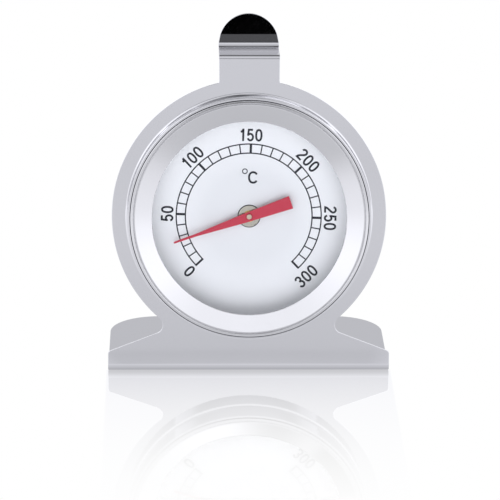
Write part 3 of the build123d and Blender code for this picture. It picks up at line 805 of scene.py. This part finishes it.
# centre lines in units of the figure height 2.65: half width .52, half height 1.13
GW, GH = 0.56, 1.115
GLYPHS = {
    "0": [(arc_c(0, 0, GW, GH, 0, 360, 44, 2.35), True)],
    "1": [([(0.16, -1.32), (0.16, 1.32)], False), ([(-0.40, 0.66), (-0.12, 0.72), (0.06, 0.88), (0.10, 1.16)], False)],
    "2": [(arc_c(0, 0.58, GW, 0.545, 172, -20, 18) + [(0.36, 0.12), (-0.10, -0.36), (-0.42, -0.74), (-0.50, -1.125)][:3] + [(-0.54, -1.13), (0.62, -1.13)], False)],
    "3": [(arc_c(-0.02, 0.60, 0.50, 0.525, 165, -90, 18) + [(-0.14, 0.075)], False), (arc_c(-0.02, -0.53, GW + 0.01, 0.60, 90, -165, 20), False)],
    "5": [([(0.52, 1.13), (-0.36, 1.13), (-0.47, -0.03)] + arc_c(0.0, -0.43, GW, 0.70, 148, -160, 22), False)],
    "C": [(arc_c(0.0, 0, 0.88, GH, 34, 326, 34, 2.2), False)],
}


def stroke(path, closed, t):
    """Outline quads of a pen stroke of width t along a centre line."""
    n = len(path)
    if closed:
        path = path[:-1]
        n -= 1
    L, R = [], []
    for i in range(n):
        if closed:
            a, p, b = path[i - 1], path[i], path[(i + 1) % n]
        else:
            a, p, b = path[max(0, i - 1)], path[i], path[min(n - 1, i + 1)]
        d1 = (p[0] - a[0], p[1] - a[1]); d2 = (b[0] - p[0], b[1] - p[1])
        l1 = hypot(*d1) or 1; l2 = hypot(*d2) or 1
        if p is a or l1 == 1 and d1 == (0, 0):
            d1, l1 = d2, l2
        if d2 == (0, 0):
            d2, l2 = d1, l1
        n1 = (-d1[1] / l1, d1[0] / l1); n2 = (-d2[1] / l2, d2[0] / l2)
        m = (n1[0] + n2[0], n1[1] + n2[1]); k = max(0.45, m[0] * n1[0] + m[1] * n1[1])
        L.append((p[0] + m[0] / k * t / 2, p[1] + m[1] / k * t / 2))
        R.append((p[0] - m[0] / k * t / 2, p[1] - m[1] / k * t / 2))
    return L, R


def put_stroke(path, closed, t, tr):
    L, R = stroke(path, closed, t)
    n = len(L)
    b = len(print_and_shade_v)
    for w in (PRINT_W + PRINT_T, DIAL_FRONT + 0.001):
        for q in L + R:
            x, y = tr(*q)
            print_and_shade_v.append(face(x + PRINT_DX, y + PRINT_DY, w))
    m = 2 * n
    for i in range(n if closed else n - 1):
        j = (i + 1) % n
        print_and_shade_f.append([b + i, b + n + i, b + n + j, b + j])
        print_and_shade_f.append([b + m + i, b + m + j, b + m + n + j, b + m + n + i])
        print_and_shade_f.append([b + i, b + j, b + m + j, b + m + i])
        print_and_shade_f.append([b + n + j, b + n + i, b + m + n + i, b + m + n + j])
    if not closed:
        print_and_shade_f.append([b, b + m, b + m + n, b + n])
        print_and_shade_f.append([b + n - 1, b + 2 * n - 1, b + m + 2 * n - 1, b + m + n - 1])


def text_piece(body, x, y, rot, pitch=1.79, pen=0.42):
    """Printed figures centred on (x, y), turned by rot (radians, anticlockwise)."""
    adv = [(1.42 if ch == "1" else pitch) for ch in body]
    total = sum(adv)
    pos = -total / 2
    for ch, ad in zip(body, adv):
        off = pos + ad / 2 - (0.06 if ch == "1" else 0)
        pos += ad

        def tr(px2, py2, off=off):
            qx = px2 + off
            return qx * cos(rot) - py2 * sin(rot) + x, qx * sin(rot) + py2 * cos(rot) + y
        for path, closed in GLYPHS[ch]:
            put_stroke(path, closed, pen, tr)


NR = 17.3
for value, r_, extra in ((0, NR, 0), (50, NR, 0), (100, NR, 0), (150, NR, 0), (200, NR, 0), (250, NR, 0), (300, 17.85, 180)):
    a = dial_ang(value)
    text_piece(str(value), r_ * sin(a), r_ * cos(a), -a + radians(extra))
text_piece("C", 0.92, 8.25, -radians(1.6), 1.66, 0.43)
deg = []
cxd, cyd, rd, td = -0.84, 9.58, 0.5, 0.2
bd = len(print_and_shade_v)
ND = 40
for w in (PRINT_W + PRINT_T, DIAL_FRONT + 0.001):
    for rr_ in (rd + td / 2, rd - td / 2):
        for i in range(ND):
            a = 2 * pi * i / ND
            print_and_shade_v.append(face(cxd + rr_ * cos(a) + PRINT_DX, cyd + rr_ * sin(a) + PRINT_DY, w))
for i in range(ND):
    j = (i + 1) % ND
    o, n_, o2, n2 = bd, bd + ND, bd + 2 * ND, bd + 3 * ND
    print_and_shade_f.append([o + i, o + j, n_ + j, n_ + i])
    print_and_shade_f.append([o2 + i, n2 + i, n2 + j, o2 + j])
    print_and_shade_f.append([o + i, o2 + i, o2 + j, o + j])
    print_and_shade_f.append([n_ + i, n_ + j, n2 + j, n2 + i])
# painted shadow: a dark ink ring on the dial round the bush flange, standing for the shadow line at its edge
SHADOW_RING_R, SHADOW_RING_T = 2.36, 0.2
bd = len(print_and_shade_v)
for w in (PRINT_W + PRINT_T, DIAL_FRONT + 0.001):
    for rr_ in (SHADOW_RING_R + SHADOW_RING_T / 2, SHADOW_RING_R - SHADOW_RING_T / 2):
        for i in range(72):
            a = 2 * pi * i / 72
            print_and_shade_v.append(face(rr_ * cos(a), rr_ * sin(a), w))
for i in range(72):
    j = (i + 1) % 72
    o, n_, o2, n2 = bd, bd + 72, bd + 144, bd + 216
    print_and_shade_f.append([o + i, o + j, n_ + j, n_ + i])
    print_and_shade_f.append([o2 + i, n2 + i, n2 + j, o2 + j])
    print_and_shade_f.append([o + i, o2 + i, o2 + j, o + j])
    print_and_shade_f.append([n_ + i, n_ + j, n2 + j, n2 + i])
# one mesh in the ink finish: the scale print and the painted shadow ring round the bush
scale_print_and_shade = make_mesh("dial_scale_print_and_painted_shadow", print_and_shade_v, print_and_shade_f, None, smooth=False)
dress(scale_print_and_shade, INK_AND_SHADE, STAND)

# ------------------------------------------------------------------ pointer
rest = radians(250.7)
pdx, pdy = sin(rest), cos(rest)
ppx, ppy = -pdy, pdx
plo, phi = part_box("pointer")
W_LOW = 1.0
W_HIGH = 1.3
hub_w = None
outline = [(16.9, 0.2), (11.8, 0.29), (0.8, 1.0), (-1.0, 1.06), (-9.4, 1.4)]
loop2 = outline + [(a, -b) for a, b in reversed(outline)]


def inset_loop(loop, e):
    n = len(loop)
    out = []
    for i in range(n):
        a, p, b = loop[i - 1], loop[i], loop[(i + 1) % n]
        d1 = (p[0] - a[0], p[1] - a[1]); L1 = hypot(*d1)
        d2 = (b[0] - p[0], b[1] - p[1]); L2 = hypot(*d2)
        n1 = (-d1[1] / L1, d1[0] / L1); n2 = (-d2[1] / L2, d2[0] / L2)
        m = (n1[0] + n2[0], n1[1] + n2[1]); k = (m[0] * n1[0] + m[1] * n1[1])
        out.append((p[0] + m[0] / k * e, p[1] + m[1] / k * e))
    return out


area = sum(loop2[i - 1][0] * loop2[i][1] - loop2[i][0] * loop2[i - 1][1] for i in range(len(loop2)))
if area < 0:
    loop2 = loop2[::-1]


def put_pointer(a, b, w):
    # the pointer's own frame: a along it, b across
    x = a * pdx + b * (-ppx) * -1
    y = a * pdy + b * (-ppy) * -1
    return face(x, y, w)


sgn_area = 1
pv_, pf_ = [], []
steps = [(0.06, W_LOW), (0.0, W_LOW + 0.06), (0.0, W_HIGH - 0.08), (0.025, W_HIGH - 0.025), (0.08, W_HIGH)]
nL = len(loop2)
for (e, w) in steps:
    for (a, b) in inset_loop(loop2, e):
        pv_.append(put_pointer(a, b, w))
for i in range(len(steps) - 1):
    for j in range(nL):
        k = (j + 1) % nL
        pf_.append([i * nL + j, i * nL + k, (i + 1) * nL + k, (i + 1) * nL + j])
pf_.append([(len(steps) - 1) * nL + j for j in range(nL)])
pf_.append([j for j in range(nL)][::-1])
pointer = make_mesh("pointer_red_blade", pv_, pf_, None, smooth=False)
bm = bmesh.new(); bm.from_mesh(pointer.data); bmesh.ops.recalc_face_normals(bm, faces=bm.faces); bm.to_mesh(pointer.data); bm.free()
dress(pointer, RED, NEEDLE, "pointer")

# painted shade: a darker copy of the pointer enamel on the thin ring round the spindle end, standing for the shading
# round the hub
SHADED_RED = paint("pointer_red_painted_shade", (0.42, 0.02, 0.04), 0.4, 0.05, 300.0, 0.4, 0.0, 0.04, 2200.0)
stake = lathe("pointer_stake_ring_painted_shade", rounded([(0.56, W_HIGH - 0.02), (0.78, W_HIGH - 0.02), (0.78, W_HIGH + 0.04), (0.56, W_HIGH + 0.09)], [0, 0, 0.03, 0.03], 3), 64)
dress(stake, SHADED_RED, NEEDLE)

# spindle end, slightly domed; the darker red ring round it above is painted shade
slo = -5.75
sp = rounded([(0.0, slo), (0.55, slo), (0.55, 1.58), (0.0, 1.58)], [0, 0.08, 0.14, 0], 5)
spin = lathe("spindle_ground", [p for p in sp if not (p[0] < 1e-6 and abs(p[2]) > 0.5)], 64, closed=False)
dress(spin, SPINDLE, NEEDLE, "spindle")

# dial bush: flange with a turned chamfer
bsh = rounded([(0.59, -0.9), (1.6, -0.9), (1.6, 0.2), (2.28, 0.2), (2.28, 0.5), (0.59, 0.5)], [0.02, 0.05, 0, 0.02, 0.1, 0.03], 4)
bush = lathe("dial_bush_turned", bsh, 96)
dress(bush, BUSH, STAND, "dial_bush")

# ------------------------------------------------------------------ CAD nodes that stay, with their finishes
finishes = {
    "glass_spacer_ring": SPACER, "case_cup": CASE, "case_retaining_ring": RING, "bush_lock_washer": RING, "thrust_washer": BRASS,
    "pointer_hub": BRASS, "spindle_clip": CLIP, "movement_bridge": RING, "rear_pivot_bush": BRASS, "bridge_rivets": RIVET,
    "bimetal_coil": COIL, "coil_arbor": BRASS, "coil_anchor_post": BRASS,
}
for name, mat in finishes.items():
    ob = frame["nodes"][name]
    ob.data.materials.clear()
    ob.data.materials.append(mat)

# ------------------------------------------------------------------ camera at the photograph's angle
EL, AZ, ROLL, DIST, PXMM = radians(16.99), radians(-1.299), radians(0.355), 800.0, 4.633
aim = Vector((0.584, 15.0 + Y0, 22.581))
back = Vector((sin(AZ) * cos(EL), -cos(AZ) * cos(EL), sin(EL)))
rt = (-back).cross(Vector((0, 0, 1))).normalized()
up = rt.cross(-back)
rt2 = rt * cos(ROLL) + up * sin(ROLL)
up2 = up * cos(ROLL) - rt * sin(ROLL)
cam_data = bpy.data.cameras.new("photo_camera")
cam = bpy.data.objects.new("photo_camera", cam_data)
scene.collection.objects.link(cam)
rot = Matrix((rt2, up2, back)).transposed().to_4x4()
aim = aim - rt2 * 0.108 + up2 * 0.108          # half a pixel, so features sit on the picture's pixel centres
cam.matrix_world = Matrix.Translation((aim + back * DIST) * MM) @ rot
cam_data.sensor_width = 36.0
cam_data.lens = PXMM * DIST / 500.0 * 36.0
cam_data.clip_start = 0.01
cam_data.clip_end = 100.0
scene.camera = cam

# ------------------------------------------------------------------ studio: pale room, a dark gap above the front panel
world = bpy.data.worlds.new("studio")
scene.world = world
world.use_nodes = True
nt = world.node_tree
nt.nodes.clear()
wo = nt.nodes.new("ShaderNodeOutputWorld")
bg = nt.nodes.new("ShaderNodeBackground")
bgc = nt.nodes.new("ShaderNodeBackground")
bgc.inputs[0].default_value = (1, 1, 1, 1)
mxs = nt.nodes.new("ShaderNodeMixShader")
lp = nt.nodes.new("ShaderNodeLightPath")
nt.links.new(lp.outputs["Is Camera Ray"], mxs.inputs[0])
nt.links.new(bg.outputs[0], mxs.inputs[1])
nt.links.new(bgc.outputs[0], mxs.inputs[2])
nt.links.new(mxs.outputs[0], wo.inputs[0])
tc = nt.nodes.new("ShaderNodeTexCoord")
sx = nt.nodes.new("ShaderNodeSeparateXYZ")
nt.links.new(tc.outputs["Generated"], sx.inputs[0])


def wmath(op, a, b=None, c=None, clamp=False):
    n = nt.nodes.new("ShaderNodeMath")
    n.operation = op
    n.use_clamp = clamp
    for i, v in enumerate((a, b, c)):
        if v is None:
            continue
        if isinstance(v, (int, float)):
            n.inputs[i].default_value = v
        else:
            nt.links.new(v, n.inputs[i])
    return n.outputs[0]


def wramp(value, stops, lo_, hi_):
    """Piecewise-linear curve of a value, as a colour ramp of grey levels up to 2."""
    t = wmath("DIVIDE", wmath("SUBTRACT", value, lo_), hi_ - lo_, clamp=True)
    r = nt.nodes.new("ShaderNodeValToRGB")
    cr = r.color_ramp
    cr.interpolation = "LINEAR"
    while len(cr.elements) > 1:
        cr.elements.remove(cr.elements[-1])
    first = True
    for (x, g) in stops:
        p = (x - lo_) / (hi_ - lo_)
        if first:
            e = cr.elements[0]; e.position = p; first = False
        else:
            e = cr.elements.new(p)
        e.color = (g / 2, g / 2, g / 2, 1)
    nt.links.new(t, r.inputs[0])
    return wmath("MULTIPLY", r.outputs[0], 2.0)


el_deg = wmath("MULTIPLY", wmath("ARCSINE", sx.outputs[2]), 180 / pi)
az_deg = wmath("MULTIPLY", wmath("ARCTAN2", sx.outputs[0], wmath("MULTIPLY", sx.outputs[1], -1.0)), 180 / pi)   # 0 in front, + to the right
abs_az = wmath("ABSOLUTE", az_deg)
front_mid = wramp(el_deg, [(-90, 0.8), (-10, 0.9), (-3, 0.88), (1.5, 0.99), (8, 1.0), (14, 1.2), (20, 1.45), (36, 1.45), (42, 0.9), (74, 0.88), (90, 0.85)], -90, 90)
dark_gap = wramp(el_deg, [(-90, 0.8), (-3, 0.88), (1.5, 0.99), (7.0, 0.97), (8.0, 0.93), (9.6, 0.12), (13.2, 0.12), (13.6, 0.0), (21.5, 0.0), (23.0, 0.9), (26, 1.45), (33, 1.5), (37, 0.9), (74, 0.88), (90, 0.85)], -90, 90)
front_side = wramp(el_deg, [(-90, 0.9), (-35, 1.1), (-17, 1.2), (-9, 1.32), (-1, 1.53), (7, 1.68), (15, 1.7), (22, 1.6), (30, 1.45), (50, 1.2), (70, 0.8), (79, 0.12), (90, 0.12)], -90, 90)
rear_mid = wramp(el_deg, [(-90, 0.8), (-5, 0.85), (5, 0.88), (14, 0.765), (21.0, 0.765), (25, 0.5), (60, 0.45), (67, 0.12), (90, 0.12)], -90, 90)
rear_side = wramp(el_deg, [(-90, 0.9), (-5, 0.95), (8, 0.97), (14, 1.2), (20, 1.75), (48, 1.75), (66, 0.8), (79, 0.12), (90, 0.12)], -90, 90)
k_side = wmath("DIVIDE", wmath("SUBTRACT", abs_az, 17.0), 9.0, clamp=True)
k_rear = wmath("DIVIDE", wmath("SUBTRACT", abs_az, 40.0), 14.0, clamp=True)
k_gap = wmath("SUBTRACT", 1.0, wmath("DIVIDE", wmath("SUBTRACT", abs_az, 8.0), 3.0, clamp=True))
k_rmid = wmath("DIVIDE", wmath("SUBTRACT", abs_az, 150.0), 15.0, clamp=True)


def wmix(f, a, b):
    return wmath("ADD", wmath("MULTIPLY", a, wmath("SUBTRACT", 1.0, f)), wmath("MULTIPLY", b, f))


env = wmix(k_rear, wmix(k_side, wmix(k_gap, front_mid, dark_gap), front_side), wmix(k_rmid, rear_side, rear_mid))
# what reaches the eye by way of the table top as well: an evener room
second = wramp(el_deg, [(-90, 0.9), (0, 0.93), (36, 0.93), (38.5, 1.75), (42.2, 1.75), (43.2, 0.75), (58, 0.75), (61, 1.5), (78, 1.3), (84, 0.3), (90, 0.2)], -90, 90)
by_az = wramp(az_deg, [(-180, 1.3), (-60, 1.5), (-50, 1.3), (-40, 0.5), (-8, 0.3), (2, 0.8), (12, 1.2), (30, 1.8), (60, 1.5), (180, 1.3)], -180, 180)
wide_az = wramp(abs_az, [(0, 1.0), (35, 1.0), (55, 1.45), (150, 1.3), (180, 1.0)], 0, 180)
band = wramp(el_deg, [(-90, 0), (42.2, 0), (43.2, 1), (58, 1), (60, 0), (90, 0)], -90, 90)
second = wmath("MULTIPLY", second, wmix(band, wide_az, by_az))
high = wmath("DIVIDE", wmath("SUBTRACT", el_deg, 59.0), 6.0, clamp=True)
left_dark = wramp(az_deg, [(-180, 0.9), (-140, 0.45), (-60, 0.3), (-8, 0.4), (12, 1.0), (180, 1.0)], -180, 180)
second = wmath("MULTIPLY", second, wmix(high, wmath("ADD", 1.0, 0.0), left_dark))
twice = wmath("GREATER_THAN", lp.outputs["Ray Depth"], 2.5)
env = wmix(wmath("MULTIPLY", twice, wmath("SUBTRACT", 1.0, lp.outputs["Is Diffuse Ray"])), env, second)
env = wmix(lp.outputs["Is Diffuse Ray"], env, wmath("MULTIPLY", env, 0.5))
cmb = nt.nodes.new("ShaderNodeCombineColor")
nt.links.new(wmath("MULTIPLY", env, 0.985), cmb.inputs[0])
nt.links.new(wmath("MULTIPLY", env, 0.99), cmb.inputs[1])
nt.links.new(wmath("MULTIPLY", env, 1.035), cmb.inputs[2])
nt.links.new(cmb.outputs[0], bg.inputs[0])

# ------------------------------------------------------------------ floor: white glossy table
fm = bpy.data.meshes.new("table")
bm = bmesh.new()
N = 24
ext = 6.0
xs = [-ext, -1.0, -0.3, -0.15, -0.08, 0.0, 0.08, 0.15, 0.3, 1.0, ext]
grid = [[bm.verts.new((x, y, -0.00002)) for x in xs] for y in xs]
for i in range(len(xs) - 1):
    for j in range(len(xs) - 1):
        bm.faces.new((grid[i][j], grid[i][j + 1], grid[i + 1][j + 1], grid[i + 1][j]))
bm.to_mesh(fm); bm.free()
floor = bpy.data.objects.new("table", fm)
scene.collection.objects.link(floor)
mt = bpy.data.materials.new("table_white_gloss")
mt.use_nodes = True
nt = mt.node_tree
nt.nodes.clear()
fo = nt.nodes.new("ShaderNodeOutputMaterial")
em = nt.nodes.new("ShaderNodeEmission")
gl = nt.nodes.new("ShaderNodeBsdfGlossy")
gl.inputs["Roughness"].default_value = 0.015
gl.inputs["Color"].default_value = (1, 1, 1, 1)
mx1 = nt.nodes.new("ShaderNodeMixShader")
lp2 = nt.nodes.new("ShaderNodeLightPath")
tcf = nt.nodes.new("ShaderNodeTexCoord")
sf = nt.nodes.new("ShaderNodeSeparateXYZ")
nt.links.new(tcf.outputs["Object"], sf.inputs[0])
# emission: pure white seen directly; as light on the object it follows the room's pattern
fx, fy = sf.outputs[0], sf.outputs[1]
ahead = wmath("SUBTRACT", (Y0 + 12.0) * MM, fy)                 # metres in front of the plate
abs_x = wmath("ABSOLUTE", fx)
rf = wmath("SQRT", wmath("ADD", wmath("MULTIPLY", fx, fx), wmath("MULTIPLY", ahead, ahead)))
by_dist = wramp(rf, [(0.0, 1.04), (0.03, 1.04), (0.05, 0.86), (0.095, 0.82), (0.115, 0.88), (0.25, 0.9), (0.6, 0.94), (1.2, 0.98)], 0.0, 1.2)
by_side = wramp(rf, [(0.0, 1.03), (0.06, 1.1), (0.13, 1.2), (0.25, 1.32), (0.6, 1.4), (1.2, 1.5)], 0.0, 1.2)
start_x = wmath("ADD", 0.024, wmath("MULTIPLY", wmath("MAXIMUM", ahead, 0.0), 0.07))
wide_x = wmath("ADD", 0.004, wmath("MULTIPLY", wmath("MAXIMUM", ahead, 0.0), 0.12))
k_f = wmath("DIVIDE", wmath("SUBTRACT", abs_x, start_x), wide_x, clamp=True)
lit = wmix(k_f, by_dist, by_side)
# painted shadow: the table's light on the object is dimmed under the stand's base and just in front of the fold,
# standing for the stand's shadow on the table
shade_under_base = wramp(ahead, [(0.0, 0.58), (0.0106, 0.6), (0.0125, 0.84), (0.017, 1.0), (0.1, 1.0)], 0.0, 0.1)
beside = wmath("DIVIDE", wmath("SUBTRACT", abs_x, 0.031), 0.006, clamp=True)
lit = wmath("MULTIPLY", lit, wmix(beside, shade_under_base, wmath("ADD", 1.0, 0.0)))
lit = wmix(lp2.outputs["Is Diffuse Ray"], lit, wmath("ADD", 2.0, 0.0))
tint = nt.nodes.new("ShaderNodeMix")
tint.data_type = "RGBA"
tint.inputs["A"].default_value = (0.985, 0.99, 1.035, 1)
tint.inputs["B"].default_value = (1, 1, 1, 1)
nt.links.new(lp2.outputs["Is Camera Ray"], tint.inputs["Factor"])
nt.links.new(tint.outputs["Result"], em.inputs["Color"])
# the gloss fades away in front of the foot, as on a lightly frosted sheet
d_mm = wmath("MULTIPLY", wmath("SUBTRACT", Y0 * MM, fy), 1000.0)
fade = wmath("POWER", 2.718, wmath("MULTIPLY", wmath("MAXIMUM", d_mm, 0.0), -1 / 37.0))
fade = wmath("MULTIPLY", fade, wmath("SUBTRACT", 1.0, wmath("DIVIDE", wmath("SUBTRACT", d_mm, 30.0), 75.0, clamp=True)))
in_front = wmath("GREATER_THAN", d_mm, -1.7)
edge_x = wmath("SUBTRACT", 1.0, wmath("DIVIDE", wmath("SUBTRACT", wmath("ABSOLUTE", wmath("SUBTRACT", fx, 0.0)), 0.0301), 0.0004, clamp=True))
gloss = wmath("MULTIPLY", wmath("MULTIPLY", fade, 0.92), wmath("MULTIPLY", wmath("MULTIPLY", in_front, edge_x), lp2.outputs["Is Camera Ray"]))
nt.links.new(gloss, mx1.inputs[0])
# where the table mirrors only the pale room it stays as white as the rest
even = wmath("DIVIDE", wmath("SUBTRACT", 1.0, wmath("MULTIPLY", gloss, 0.83)), wmath("SUBTRACT", 1.0, gloss))
es = wmix(lp2.outputs["Is Camera Ray"], lit, even)
nt.links.new(es, em.inputs["Strength"])
nt.links.new(em.outputs[0], mx1.inputs[1])
nt.links.new(gl.outputs[0], mx1.inputs[2])
nt.links.new(mx1.outputs[0], fo.inputs[0])
floor.data.materials.append(mt)

scene.view_settings.view_transform = "Standard"
scene.view_settings.look = "None"
scene.view_settings.exposure = 0.0
scene.view_settings.gamma = 1.0
